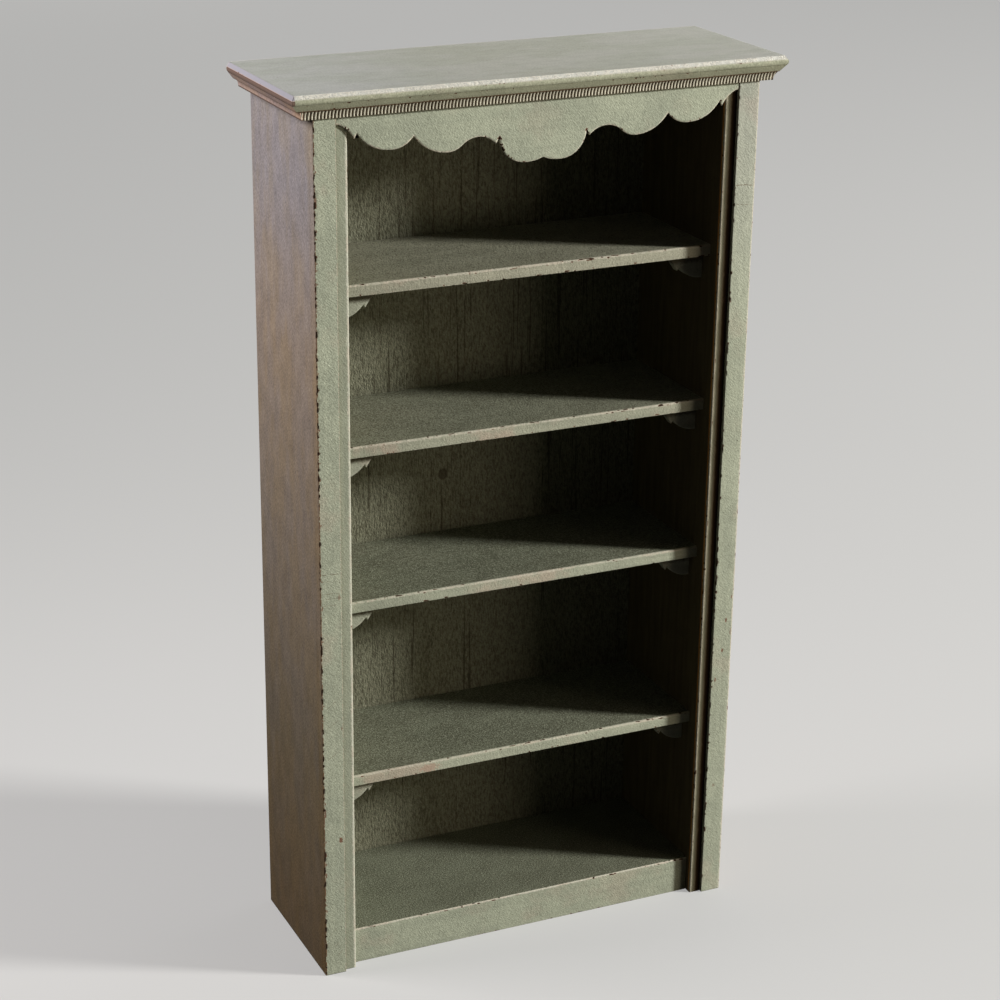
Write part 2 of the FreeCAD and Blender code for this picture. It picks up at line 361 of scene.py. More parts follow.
def inside(points, outline):
    """Which flat points lie inside a closed outline."""
    found = np.zeros(len(points), bool)
    for (ax, az), (bx, bz) in zip(outline, np.roll(outline, -1, axis=0)):
        if az == bz:
            continue
        crosses = (az > points[:, 1]) != (bz > points[:, 1])
        found ^= crosses & (points[:, 0] < ax + (points[:, 1] - az) * (bx - ax) / (bz - az))
    return found


def face_grid(outline, fine, coarse, margin):
    """Points over a flat face, dense beside its outline, with their distances to it."""
    tree = KDTree(len(outline))
    for index, (x, z) in enumerate(outline):
        tree.insert((x, z, 0), index)
    tree.balance()
    low, high = outline.min(axis=0), outline.max(axis=0)
    rows = [np.arange(low[axis] + fine, high[axis], fine) for axis in (0, 1)]
    grid = np.stack(np.meshgrid(*rows), axis=-1).reshape(-1, 2)
    grid = grid[inside(grid, outline)]
    gaps = np.array([tree.find((x, z, 0))[2] for x, z in grid])
    every = max(1, round(coarse / fine))
    cells = np.round((grid - low) / fine).astype(int)
    sparse = np.all(cells % every == 0, axis=1)
    kept = (gaps > margin) & (sparse | (gaps < coarse))
    return grid[kept], gaps[kept]


def on_plane(flat, y):
    """Flat (x, z) rows, set upright at a depth."""
    return np.stack([flat[:, 0], np.full(len(flat), y), flat[:, 1]], axis=1)


def ways_in(outline):
    """Unit ways into a closed outline, at each of its points."""
    after = np.roll(outline, -1, axis=0)
    along = after - np.roll(outline, 1, axis=0)
    along /= np.linalg.norm(along, axis=1)[:, None]
    area = np.sum(outline[:, 0] * after[:, 1] - outline[:, 1] * after[:, 0])
    return np.stack([-along[:, 1], along[:, 0]], axis=1) * np.sign(area)


def cut_rim(outline, low, high, rub, chip, seed):
    """Worn edge of a cut board, as four rings from its face to its back."""
    inward = ways_in(outline)
    count = len(outline)
    levels = ((low.y, 1), (low.y + plain_arris, 0), (high.y - plain_arris, 0), (high.y, 1))
    rings = [on_plane(outline + inward * inset * plain_arris, y) for y, inset in levels]
    ways = np.tile(on_plane(inward, 0.0), (4, 1))
    fades = np.repeat([1.0, 1.0, 0.5, 0.5], count) * np.tile(0.4 + np.clip(inward[:, 0], 0, 1), 4)
    rubs = np.full(4 * count, rub)
    return wear(np.concatenate(rings), ways, rubs, chip * fades,
                depths=(0.0004, 0.0012), chip_size=0.0028, seed=seed)


def face_triangles(front, grid, first, y):
    """Triangles over a face, and the points that they add to its front ring and its grid.

    first is the number of the grid's first point.
    """
    count = len(front)
    flat = [Vector(point) for point in np.concatenate([front, grid])]
    found = delaunay_2d_cdt(flat, [], [list(range(count))], 1, slim_distance)
    index_of, added = [], []
    for place, origins in zip(found[0], found[3]):
        if origins:
            index_of.append(origins[0] if origins[0] < count else first + origins[0] - count)
        else:
            index_of.append(first + len(grid) + len(added))
            added.append((place.x, y, place.y))
    triangles = [tuple(index_of[corner] for corner in face) for face in found[2]]
    return triangles, np.array(added).reshape(-1, 3)


def cut_board(node, outline, material, rub, chip, inset_y, seed=31):
    """Flat board cut to an outline, its front arris worn, in the node's thickness, with painted shade
    that fades down from its top.
    """
    low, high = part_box(node)
    low.y += inset_y
    rim, rim_chips = cut_rim(np.array(outline), low, high, rub, chip, seed)
    count = len(outline)
    faces = loft_faces(4, count, capped=False)
    faces.append(tuple(range(3 * count, 4 * count)))
    front = rim[:, [0, 2]][:count]
    grid, gaps = face_grid(front, face_spacing, coarse_step, face_margin)
    triangles, added = face_triangles(front, grid, len(rim), low.y)
    points = np.concatenate([rim, on_plane(grid, low.y), added])
    rubs = np.full(len(points), rub)
    rubs[len(rim):len(rim) + len(grid)] *= np.exp(-gaps / rub_fade)
    chips = np.concatenate([rim_chips, np.zeros(len(grid) + len(added))])
    # Painted shade under what the board hangs from, darkest at its top and fading downwards.
    hollow = np.clip(1 - (high.z - points[:, 2]) / hollow_fade, 0, 1)
    add_piece(node, points, faces + triangles, material, "front_paint",
              rub=rubs, chip=chips, hollow=hollow)


def closed_outline(points, *corners):
    """Outline carried on through corners and back to its start."""
    for corner in corners:
        points = points + line_points(points[-1], corner, plain_step)
    return points + line_points(points[-1], points[0], plain_step)[:-1]


# Valance and brackets


def make_valance(material):
    """Scalloped board, the left half a mirror of the right."""
    low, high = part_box("valance")
    valance_depth = (high.z - low.z) / max(step[-1][1] for step in valance_step_shares)

    def place(along_share, down_share):
        return (along_share * high.x, high.z - down_share * valance_depth)

    right = stepped_outline((1, valance_end_share), valance_step_shares, place, fine_step)
    left = [(-x, z) for x, z in reversed(right[:-1])]
    outline = closed_outline(right + left, (-high.x, high.z), (high.x, high.z))
    cut_board("valance", outline, material, 0.5, 0.13, valance_inset, seed=37)


def make_bracket(node, material):
    """Scalloped bracket, on either side of the bay."""
    low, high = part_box(node)
    side = 1 if low.x > 0 else -1
    wide = high.x - low.x

    def place(along_share, down_share):
        return (side * (bay_x - along_share * wide), high.z - down_share * (high.z - low.z))

    scallops = stepped_outline((1, 0), bracket_step_shares, place, fine_step)
    cut_board(node, closed_outline(scallops, place(0, 0)), material, 0.35, 0.05, bracket_inset)


# Top board, cornice and trim


def top_profile():
    """(inset from the crest, z, rub, chip) up the moulded edge and in over the top."""
    under = (nosing_under, top_under_z)
    crest = (0.0, top_z - nosing_crest_drop)
    foot = (nosing_swell, top_z - bevel_drop)
    arris = (bevel_reach, top_z)
    rows = [(*under, 0.1, 0.0)]
    nosing = arc_points(under, crest, foot, curve_spacing)
    rows += [(*point, 0.15, 0.0) for point in nosing[:-1]]
    rows.append((*foot, 0.5, 0.05))
    for share in (0.15, 0.4, 0.7):
        inset = foot[0] * (1 - share) + arris[0] * share
        rows.append((inset, foot[1] * (1 - share) + arris[1] * share, 0.15, 0.015))
    rows.append((arris[0] - 0.0004, top_z - 0.0006, 0.35, 0.03))
    rows.append((arris[0] + 0.0004, top_z - 0.0001, 0.2, 0.01))
    for beyond in (0.002, 0.005, 0.01, 0.02, 0.05):
        rows.append((arris[0] + beyond, top_z, 0.3 * math.exp(-beyond / rub_fade), 0.0))
    return rows


def make_top_board(material):
    """Board moulded on the front and both ends, as rings stacked up its profile."""
    reach_x = half_width + side_packing + front_reach - hair
    far_y = front_y - front_reach + hair
    depth_count = math.ceil((back_y - far_y) / fine_step)
    front_count = math.ceil(2 * reach_x / fine_step)
    back_count = math.ceil(2 * reach_x / coarse_step)
    counts = (depth_count, front_count, depth_count, back_count)
    ways = ((1, 0), (0, 1), (-1, 0), (0, 0))
    rows = []
    for inset, z, rub, chip in top_profile():
        x, y = reach_x - inset, far_y + inset
        corners = [(-x, back_y), (-x, y), (x, y), (x, back_y)]
        for index, count in enumerate(counts):
            start, end = np.array(corners[index]), np.array(corners[(index + 1) % 4])
            way = (*ways[index], -0.6 if z > top_under_z else 0)
            worn_here = (rub, chip) if index < 3 else (0, 0)
            for step in range(count):
                rows.append((*(start + (end - start) * step / count), z, *way, *worn_here))
    rows = np.array(rows)
    rubs = rows[:, 6]
    points, chips = wear(rows[:, :3], rows[:, 3:6], rubs, rows[:, 7],
                         depths=(0.0006, 0.001), chip_size=0.003, seed=41)
    faces = loft_faces(len(top_profile()), sum(counts))
    add_piece("top_board", points, faces, material, "front_paint", rub=rubs, chip=chips)


def moulding_section(profile, packing):
    """Closed section of a moulding as rows of reach, z and rub: its outer face, then its back."""
    outer = [profile[0]]
    for end in profile[1:]:
        outer += line_points(outer[-1], end, moulding_spacing)
    rows = []
    for place in outer:
        gap = min(math.dist(place, outer[0]), math.dist(place, outer[-1]))
        rows.append((*place, math.exp(-gap / rub_fade)))
    rows += [(-packing, z, 0.0) for z in (profile[-1][1], profile[0][1])]
    return np.array(rows).T


def add_moulding(node, places, way, rub, chip, material, slot, depths, seed, **labels):
    """Moulding lofted through its sections: places are x, y and z, by section and by row."""
    places = np.stack(np.broadcast_arrays(*places), axis=-1)
    sections, count = places.shape[:2]
    inward, rubs, chips = (np.tile(column, (sections, 1)) for column in (way, rub, chip))
    rubs = rubs.ravel()
    points, chips = wear(places.reshape(-1, 3), inward, rubs, chips.ravel(),
                         depths, chip_size=0.0035, seed=seed)
    labels = {name: np.broadcast_to(value, (sections, count)).ravel() for name, value in labels.items()}
    faces = loft_faces(sections, count)
    add_piece(node, points, faces, material, slot, rub=rubs, chip=chips, **labels)


def make_front_moulding(node, profile, packing, relief, step, worn_most, material):
    """Front length of a moulding, mitred at both ends, with a relief along it.

    worn_most is its most rub and chip; relief gives how far back the face lies and where shade is painted
    on it.
    """
    reach, z, rub = moulding_section(profile, 0.0)
    outer = reach > 0
    limit = half_width + packing + reach
    count = math.ceil(2 * max(limit) / step)
    x = np.linspace(-max(limit), max(limit), count + 1)[:, None]
    back, hollow = relief(x, z)
    places = (np.clip(x, -limit, limit), front_y - np.maximum(reach - back * outer, 0), z)
    add_moulding(node, places, outer[:, None] * np.array((0, 1, 0)), worn_most[0] * rub,
                 worn_most[1] * rub, material, "front_paint", depths=(0.0004, 0.001), seed=53,
                 hollow=hollow * outer)


def make_return(node, side, profile, packing, material):
    """Return along one side, from the mitre to the back."""
    reach, z, rub = moulding_section(profile, packing)
    outer = reach > 0
    count = math.ceil((back_y - front_y) / plain_step)
    start_y = front_y - np.maximum(reach, 0)
    y = start_y + (back_y - start_y) * np.arange(count + 1)[:, None] / count
    places = (side * (half_width + packing + reach), y, z)
    add_moulding(node, places, outer[:, None] * np.array((-side, 0, 0)), 0.3 * rub,
                 np.zeros_like(rub), material, "side_paint", depths=(0.0005, 0), seed=59)


def cornice_profile():
    return [(cornice_top_reach, top_under_z), (cornice_low_reach, cornice_under_z)]


def cornice_relief(x, z):
    """A plain face, with painted shade along its foot."""
    return 0.0, np.exp(-(z - cornice_under_z) / 0.0025)


def trim_profile():
    """Cove that stands almost upright below and leans out above."""
    top = (trim_top_reach, cornice_under_z)
    bend = (trim_bend_reach, cornice_under_z - trim_bend_drop)
    low = (trim_low_reach, trim_under_z)
    return [top] + arc_points(top, bend, low, curve_spacing)


def reed_relief(x, z):
    """Grooves between the reeds' crests and each reed's rounded foot, with painted shade in the grooves
    and along the top under the cornice.
    """
    across = (x + reed_pitch / 2) % reed_pitch - reed_pitch / 2
    beside = np.minimum(1, abs(across) / (reed_width / 2))
    hollow = 1 - np.sqrt(1 - beside ** 2.6)
    foot = np.maximum(0, 1 - (z - trim_under_z) / 0.0016)
    # Painted shade along the top of the trim, under the cornice.
    painted_shade = np.exp(-(cornice_under_z - z) / 0.0012)
    return reed_rise * np.minimum(1, hollow + 0.55 * foot * foot), np.maximum(hollow, painted_shade)


# Nail heads in the back panel


def nail_places():
    """Along both sides of the back panel, and along each shelf and the top rail, as (x, z)."""
    low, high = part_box("back_panel")
    heights = np.arange(low.z + nail_spacing, high.z, nail_spacing)
    places = [(x, z) for x in (low.x + nail_inset, high.x - nail_inset) for z in heights]
    for node in ("shelf_1", "shelf_2", "shelf_3", "shelf_4", "bottom_shelf", "top_rail_rear"):
        low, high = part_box(node)
        across = np.arange(-bay_x + nail_spacing / 2, bay_x, nail_spacing)
        places += [(x, (low.z + high.z) / 2) for x in across]
    return places


def make_back_nails(material):
    """Small flat heads on the back panel."""
    angles = math.tau * np.arange(nail_sides) / nail_sides
    points, faces = [], []
    for x, z in nail_places():
        ring_faces = loft_faces(len(nail_profile), nail_sides)
        faces += [[len(points) + corner for corner in face] for face in ring_faces]
        for share, sunk in nail_profile:
            radius = nail_radius * share
            points += [(x + radius * math.cos(angle), back_y - sunk, z + radius * math.sin(angle))
                       for angle in angles]
    mesh = bpy.data.meshes.new("back_nails")
    mesh.from_pydata(points, [], faces)
    mesh.materials.append(material)
    nails = add_object("back_nails", mesh)
    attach(nails, "root")


# Materials


def operator(kind, swapped=False):
    """A method that stands for a math node, for one of the operators of Value."""
    def method(*values):
        return values[0].nodes.math(kind, *(reversed(values) if swapped else values))
    return method


class Value:
    """A number that a material works out, for plain sums, products and comparisons."""

    def __init__(self, nodes, socket):
        self.nodes = nodes
        self.socket = socket

    __add__ = __radd__ = operator("ADD")
    __mul__ = __rmul__ = operator("MULTIPLY")
    __sub__ = operator("SUBTRACT")
    __rsub__ = operator("SUBTRACT", swapped=True)
    __truediv__ = operator("DIVIDE")
    __abs__ = operator("ABSOLUTE")
    __lt__ = operator("LESS_THAN")
    __gt__ = operator("GREATER_THAN")


class Nodes:
    """The nodes of a new material or world."""

    def __init__(self, name, library):
        self.owner = library.new(name)
        self.owner.use_nodes = True
        self.made = self.owner.node_tree.nodes
        self.links = self.owner.node_tree.links

    def set(self, socket, value):
        value = value.socket if isinstance(value, Value) else value
        if isinstance(value, bpy.types.NodeSocket):
            self.links.new(value, socket)
        else:
            socket.default_value = value

    def node(self, kind, inputs=(), **settings):
        made = self.made.new("ShaderNode" + kind)
        for key, value in settings.items():
            setattr(made, key, value)
        for key, value in dict(inputs).items():
            self.set(made.inputs[key], value)
        return made

    def math(self, operation, *values):
        return Value(self, self.node("Math", enumerate(values), operation=operation).outputs[0])

    def seen_directly(self):
        """1 for the rays that see the backdrop: from the camera, in gloss and through glass."""
        path = self.node("LightPath")
        seen = path.outputs["Is Camera Ray"]
        for name in ("Is Glossy Ray", "Is Transmission Ray"):
            seen = self.math("MAXIMUM", seen, path.outputs[name])
        return seen

    def either(self, share, first, second):
        return self.node("MixShader", {0: share, 1: first.outputs[0], 2: second.outputs[0]})

    def show(self, output, made):
        self.links.new(made.outputs[0], self.made[output].inputs["Surface"])


class Shader(Nodes):
    """A material of the bookcase, with a short call for each pattern used here."""

    def __init__(self, name):
        super().__init__(name, bpy.data.materials)
        self.surface = self.made["Principled BSDF"]
        self.place = self.node("TexCoord").outputs["Object"]
        self.x, self.y, self.z = self.split(self.place)

    def split(self, vector):
        return [Value(self, part) for part in self.node("SeparateXYZ", {0: vector}).outputs]

    def sized(self, sizes, turn=(0, 0, 0), start=(0, 0, 0)):
        """Object coordinates from a start, along turned axes, counted in the given sizes."""
        inputs = {"Vector": self.place, "Location": start, "Rotation": turn, "Scale": sizes}
        return self.node("Mapping", inputs, vector_type="TEXTURE").outputs["Vector"]

    def noise(self, sizes, detail=3.0, rough=0.55, turn=(0, 0, 0)):
        """Soft noise about 0.5, with cells of one size, or of sizes along turned axes."""
        sizes = sizes if isinstance(sizes, tuple) else (sizes,) * 3
        inputs = {"Vector": self.sized(sizes, turn), "Scale": 1.0, "Detail": detail, "Roughness": rough}
        return Value(self, self.node("TexNoise", inputs).outputs["Fac"])

    def band(self, value, low, high):
        """0 at low and 1 at high, smooth between; low may be the larger."""
        inputs = {"Value": value, "From Min": low, "From Max": high}
        made = self.node("MapRange", inputs, interpolation_type="SMOOTHSTEP")
        return Value(self, made.outputs["Result"])

    def mix(self, share, a, b):
        """The first colour, turned into the second as far as the share says."""
        a, b = [(*colour, 1) if isinstance(colour, tuple) else colour for colour in (a, b)]
        made = self.node("Mix", {0: share, 6: a, 7: b}, data_type="RGBA", clamp_factor=True)
        return made.outputs[2]

    def scaled(self, colour, factor):
        """Colour made lighter or darker."""
        made = self.node("VectorMath", {0: colour, "Scale": factor}, operation="SCALE")
        return made.outputs["Vector"]

    def tinted(self, colour, tint, share=1.0, start=(1.0, 1.0, 1.0)):
        """Colour times a tint that grows from its start with the share."""
        inputs = {0: colour, 1: self.mix(share, start, tint)}
        return self.node("VectorMath", inputs, operation="MULTIPLY").outputs["Vector"]

    def ramp(self, value, *stops):
        """Colour by value, through (value, colour) stops, the two end ones first."""
        made = self.node("ValToRGB", {0: value})
        elements = made.color_ramp.elements
        for index, (place, colour) in enumerate(stops):
            element = elements[index] if index < 2 else elements.new(place)
            element.position = place
            element.color = (*colour, 1)
        return made.outputs["Color"]

    def attribute(self, name):
        return Value(self, self.node("Attribute", attribute_name=name).outputs["Fac"])

    def pits(self, spacing, radius, share):
        """Small round spots in a share of the cells of the given spacing."""
        made = self.node("TexVoronoi", {"Vector": self.sized((spacing,) * 3), "Scale": 1.0})
        draw = Value(self, self.node("SeparateColor", {0: made.outputs["Color"]}).outputs[0])
        near = self.band(made.outputs["Distance"], radius / spacing, 0.6 * radius / spacing)
        return near * (draw > 1 - share)

    def stroke(self, start, end, width):
        """A thin scratch on the front, from one (x, z) to another, broken along its way."""
        turn = -math.atan2(end[1] - start[1], end[0] - start[0])
        sizes = (math.dist(start, end), 1, width)
        along, _, across = self.split(self.sized(sizes, (0, turn, 0), (start[0], 0, start[1])))
        wander = 3.0 * self.noise(0.012, 2.0) + across
        thin = self.band(abs(wander - 1.5), 1.0, 0.2)
        within = self.band(along, 0.0, 0.1) * self.band(along, 1.0, 0.9)
        return thin * within * self.band(self.noise(0.007, 2.0), 0.38, 0.52)

    def distance(self, centre, radii):
        """How far out from (x, z) on the front, counted in the radii."""
        flat = 1000.0
        at = self.sized((radii[0], flat, radii[1]), start=(centre[0], 0, centre[1]))
        return Value(self, self.node("VectorMath", {0: at}, operation="LENGTH").outputs["Value"])

    def blot(self, centre, radii):
        """A frayed patch on the front, about (x, z)."""
        frayed = self.distance(centre, radii) + 2.2 * self.noise(0.004, 3.0, 0.65)
        return self.band(frayed, 2.2, 1.8)

    def bump(self, *layers):
        """Surface relief: (height in metres, value) layers."""
        most = max(height for height, _ in layers)
        total = sum(value * (height / most) for height, value in layers)
        made = self.node("Bump", {"Height": total, "Distance": most, "Strength": 1.0})
        self.set(self.surface.inputs["Normal"], made.outputs["Normal"])

    def finish(self, colour, rough, specular=0.1):
        self.set(self.surface.inputs["Base Color"], colour)
        self.set(self.surface.inputs["Roughness"], rough)
        self.set(self.surface.inputs["Specular IOR Level"], specular)
        return self.owner


# Paint colours, before the patterns
cream = (0.525, 0.5, 0.405)
stile_cream = (0.525, 0.51, 0.42)
strip_cream = (0.51, 0.51, 0.42)
shelf_cream = (0.53, 0.5, 0.41)
rail_cream = (0.58, 0.56, 0.47)
pink = (0.5, 0.37, 0.29)
warm = (0.43, 0.355, 0.28)
chip_dark = (0.026, 0.016, 0.009)
chip_red = (0.155, 0.06, 0.034)
sage = (0.398, 0.426, 0.324)
sage_grey = (0.34, 0.366, 0.28)
cornice_sage = (0.405, 0.415, 0.295)
reed_cream = (0.6, 0.575, 0.46)

# Roughness, and the gloss of the paint inside the bays
paint_rough = 0.8
wash_rough = 0.75
top_rough = 0.62
shade_gloss = 0.04

# Turns of the brush's short strokes, on the fronts and on the sides
brush_turn = (0, math.radians(45), 0)
side_turn = (math.radians(30), 0, 0)


def run(grain, along, across):
    """Cell sizes that make noise run along one axis."""
    return tuple(along if letter == grain else across for letter in "xyz")


def shaded(colour, share):
    return tuple(share * value for value in colour)


def sages(level=1.0):
    """Light and dark sage, darkened alike."""
    return shaded(sage, level), shaded(sage_grey, level)


def combed(s):
    """Short slanting ridges that the brush left in thick paint."""
    return s.noise((0.0052, 0.0052, 0.0027), 3.0, 0.6, brush_turn)


def painted(s, grain, light, dark, warmth=0.3):
    """Paint colour: slow mottling, brush streaks along the grain, specks, and brush ridges paler and
    grooves darker, partly worn paint and partly painted light and shade of the relief.
    """
    mottle = s.noise(0.09, 4.0, 0.6)
    streak = s.noise(run(grain, 0.3, 0.009), 3.0, 0.6)
    colour = s.mix(s.band(0.6 * mottle + 0.4 * streak, 0.4, 0.6), light, dark)
    colour = s.mix(s.band(s.noise(0.16, 5.0, 0.65), 0.52, 0.66) * warmth, colour, warm)
    speck = s.noise(0.0021, 2.0, 0.6)
    # Ridges paler and grooves darker by the same noise as the brush relief: partly worn paint, partly
    # painted light and shade.
    colour = s.scaled(colour, 0.5 * combed(s) + 0.6 * speck + 0.45)
    return s.mix(s.band(speck, 0.42, 0.28) * 0.45, colour, shaded(dark, 0.62))


def worn(s, colour, pale=cream, strength=0.85):
    """Paint rubbed pale along the arrises, nicked red-brown, and dark in the chips."""
    rub = s.attribute("rub")
    fray = 0.9 * s.noise(0.005, 4.0, 0.7) + 0.5 * s.noise(0.05)
    bare = s.band(rub + fray, 1.02, 1.22)
    flecked = s.scaled(pale, 0.9 * s.noise(0.0026, 3.0, 0.65) + 0.55)
    colour = s.mix(bare * strength, colour, flecked)
    blush = bare * s.band(s.noise(0.03), 0.48, 0.6)
    colour = s.mix(blush * (0.28 * strength), colour, pink)
    nicks = s.band(0.28 * rub + s.noise(0.0026, 2.0, 0.6), 0.9, 0.97)
    nicks = nicks * s.band(s.noise(0.06), 0.46, 0.56) * s.band(rub, 0.05, 0.2)
    colour = s.mix(nicks, colour, chip_red)
    chip = s.attribute("chip")
    colour = s.mix(s.band(chip, 0.05, 0.2), colour, chip_red)
    return s.mix(s.band(chip, 0.15, 0.35), colour, chip_dark)


def brush(s, height=1.0):
    """Relief of thick paint: short slanting ridges, over fine stipple and slow lumps."""
    s.bump((0.0009 * height, combed(s)), (0.00035 * height, s.noise(0.0018, 2.0, 0.5)),
           (0.0009 * height, s.noise(0.018, 3.0, 0.5)))


def valance_paint():
    s = Shader("valance_paint")
    colour = painted(s, "x", *sages(), 0.18)
    colour = s.mix(s.pits(0.028, 0.0014, 0.25), colour, chip_dark)
    brush(s)
    return s.finish(worn(s, colour), paint_rough)


def bracket_paint():
    """Front paint, with painted shade up under the shelf."""
    s = Shader("bracket_paint")
    colour = painted(s, "x", (0.292, 0.3, 0.234), (0.25, 0.257, 0.202))
    colour = worn(s, colour, strength=0.6)
    # Painted shade cast by the shelf above, darkest at the bracket's top and broken by noise.
    painted_shade = s.attribute("hollow") + 0.3 * s.noise(0.006, 3.0, 0.6) - 0.15
    colour = s.mix(s.band(painted_shade, 0.28, 0.62) * 0.88, colour, (0.062, 0.05, 0.029))
    brush(s)
    return s.finish(colour, paint_rough)


def side_grain(s):
    """Fine slanting strokes of the thin wash."""
    return s.noise((0.0045, 0.003, 0.007), 4.0, 0.65, side_turn)


def side_colour(s):
    """Thin wash in soft clouds, lilac at the top and browner down to the foot: partly the wash's colour,
    partly painted light of the lilac fill falling off downwards.
    """
    colour = s.ramp(s.z / top_z,
                    (0.03, (0.212, 0.153, 0.086)), (0.89, (0.292, 0.268, 0.258)),
                    (0.25, (0.218, 0.178, 0.118)), (0.47, (0.277, 0.23, 0.174)),
                    (0.72, (0.33, 0.268, 0.206)))
    drift = s.band(s.noise((0.06, 0.06, 0.2), 4.0, 0.6), 0.38, 0.62)
    colour = s.tinted(colour, (1.03, 1.0, 0.92), drift, (0.98, 1.0, 1.07))
    margin = s.band(s.y, front_y + 0.04, front_y + 0.012) * 0.45
    colour = s.tinted(colour, (1.12, 1.02, 0.8), margin)
    cloud = s.noise((0.03, 0.03, 0.06), 5.0, 0.65)
    colour = s.scaled(colour, 1.5 * side_grain(s) + 0.8 * cloud - 0.15)
    streak = s.noise((0.004, 0.004, 0.12), 3.0, 0.6)
    colour = s.mix(s.band(streak, 0.54, 0.72) * 0.1, colour, (0.33, 0.27, 0.225))
    speck = s.noise(0.0024, 2.0, 0.6)
    return s.mix(s.band(speck, 0.4, 0.28) * 0.4, colour, (0.085, 0.062, 0.048))


def side_brush(s):
    """Relief of the thin wash."""
    s.bump((0.0005, side_grain(s)), (0.00025, s.noise(0.0016, 2.0)),
           (0.0006, s.noise((0.015, 0.015, 0.05))))


def side_wash():
    s = Shader("side_wash")
    side_brush(s)
    return s.finish(worn(s, side_colour(s), (0.33, 0.25, 0.2), 0.6), wash_rough)


def return_wash():
    """Darker wash of the side mouldings, with painted shade under the top board and along every joint."""
    s = Shader("return_wash")
    colour = s.tinted(side_colour(s), (1.27, 1.05, 0.94))
    # Painted shade in the creases under the top board and at the moulding joints.
    joint_shade = s.band(s.z, top_under_z - 0.0022, top_under_z - 0.0008)
    for joint_z in (cornice_under_z, trim_under_z + 0.001):
        joint_shade = s.math("MAXIMUM", joint_shade, s.band(abs(s.z - joint_z), 0.002, 0.0008))
    colour = s.mix(joint_shade * 0.85, colour, (0.06, 0.035, 0.024))
    side_brush(s)
    return s.finish(colour, wash_rough)


def stile_marks(s, colour):
    """Scratches, grit and bare patches of the stiles' faces."""
    for start, end, width in stile_scratches:
        colour = s.mix(s.stroke(start, end, width) * 0.75, colour, (0.13, 0.085, 0.055))
    grit = (s.noise(0.0026, 3.0, 0.7) - 0.5) * (s.x < 0.0)
    colour = s.scaled(colour, 1.5 * grit + 1.0)
    colour = s.mix(s.pits(0.0048, 0.001, 0.35) * 0.45, colour, shaded(sage, 0.45))
    for centre, radii, strength in stile_red_patches:
        colour = s.mix(s.blot(centre, radii) * strength, colour, chip_red)
    return s.mix(s.pits(0.028, 0.0014, 0.25), colour, chip_dark)


def stile_paint():
    """Front paint with the marks of long use, painted light that makes it lighter towards the top and
    bluer atop the right stile, and the side wash round the outer corner.
    """
    s = Shader("stile_paint")
    left = s.x < 0.0
    colour = painted(s, "z", *sages())
    # Painted light: lighter towards the top, and bluer at the top of the right stile.
    colour = s.scaled(colour, 0.08 * s.band(s.z, 0.8, 1.5) + 0.96)
    colour = s.tinted(colour, (1.04, 1.01, 1.1), s.band(s.z, 1.2, 1.7) * (1 - left))
    colour = stile_marks(s, colour)
    inset = half_width - abs(s.x)
    joint = half_width - stile_low.x - inset
    joint = s.band(joint, 0.0016, 0.0008) * s.band(s.noise(0.0045, 3.0, 0.65), 0.44, 0.54)
    colour = s.mix(joint * left * 0.7, colour, (0.52, 0.43, 0.34))
    seam = s.band(inset, 0.0032, 0.002) * s.band(s.noise(0.006, 2.0, 0.6), 0.42, 0.5)
    colour = s.mix(seam * left, colour, (0.15, 0.07, 0.035))
    colour = s.mix(s.band(inset, 0.0013, 0.0009), colour, side_colour(s))
    brush(s)
    return s.finish(worn(s, colour, stile_cream), paint_rough)


def top_face(s):
    """Smooth grey-sage top, streaked along its length, and bluer to the left as painted lilac fill light.
    """
    cloud = s.noise((0.16, 0.07, 0.16), 4.0, 0.6)
    colour = s.mix(s.band(cloud, 0.4, 0.6), (0.372, 0.38, 0.332), (0.336, 0.35, 0.292))
    streak = s.noise((0.12, 0.004, 0.01), 3.0, 0.6)
    colour = s.mix(s.band(streak, 0.52, 0.7) * 0.35, colour, (0.41, 0.395, 0.345))
    blotch = s.noise((0.035, 0.02, 0.02), 4.0, 0.65)
    colour = s.scaled(colour, 0.85 * s.noise(0.004, 4.0, 0.7) + 0.35 * blotch + 0.4)
    # Painted light: the lilac fill's tint, bluer towards the left end.
    return s.tinted(colour, (0.98, 1.0, 1.08), s.band(s.x, 0.0, -0.45))


def top_front(s):
    """Pale flaking bevel over a greener nosing, and where it flakes."""
    nosing = s.band(s.z, top_z - 0.005, top_z - bevel_drop - 0.0008)
    stipple = s.noise(0.0032, 3.0, 0.65)
    crest = painted(s, "x", (0.375, 0.385, 0.28), (0.315, 0.328, 0.236))
    crest = s.scaled(crest, 1.3 * stipple + 0.4)
    bevel = painted(s, "x", (0.65, 0.65, 0.6), (0.59, 0.595, 0.545))
    flecks = s.band(s.noise((0.022, 0.02, 0.02), 3.0, 0.6), 0.4, 0.54)
    flecks = flecks * s.band(stipple, 0.42, 0.54) * (1 - nosing)
    return s.mix(flecks, s.mix(nosing, bevel, crest), (0.76, 0.74, 0.66)), flecks


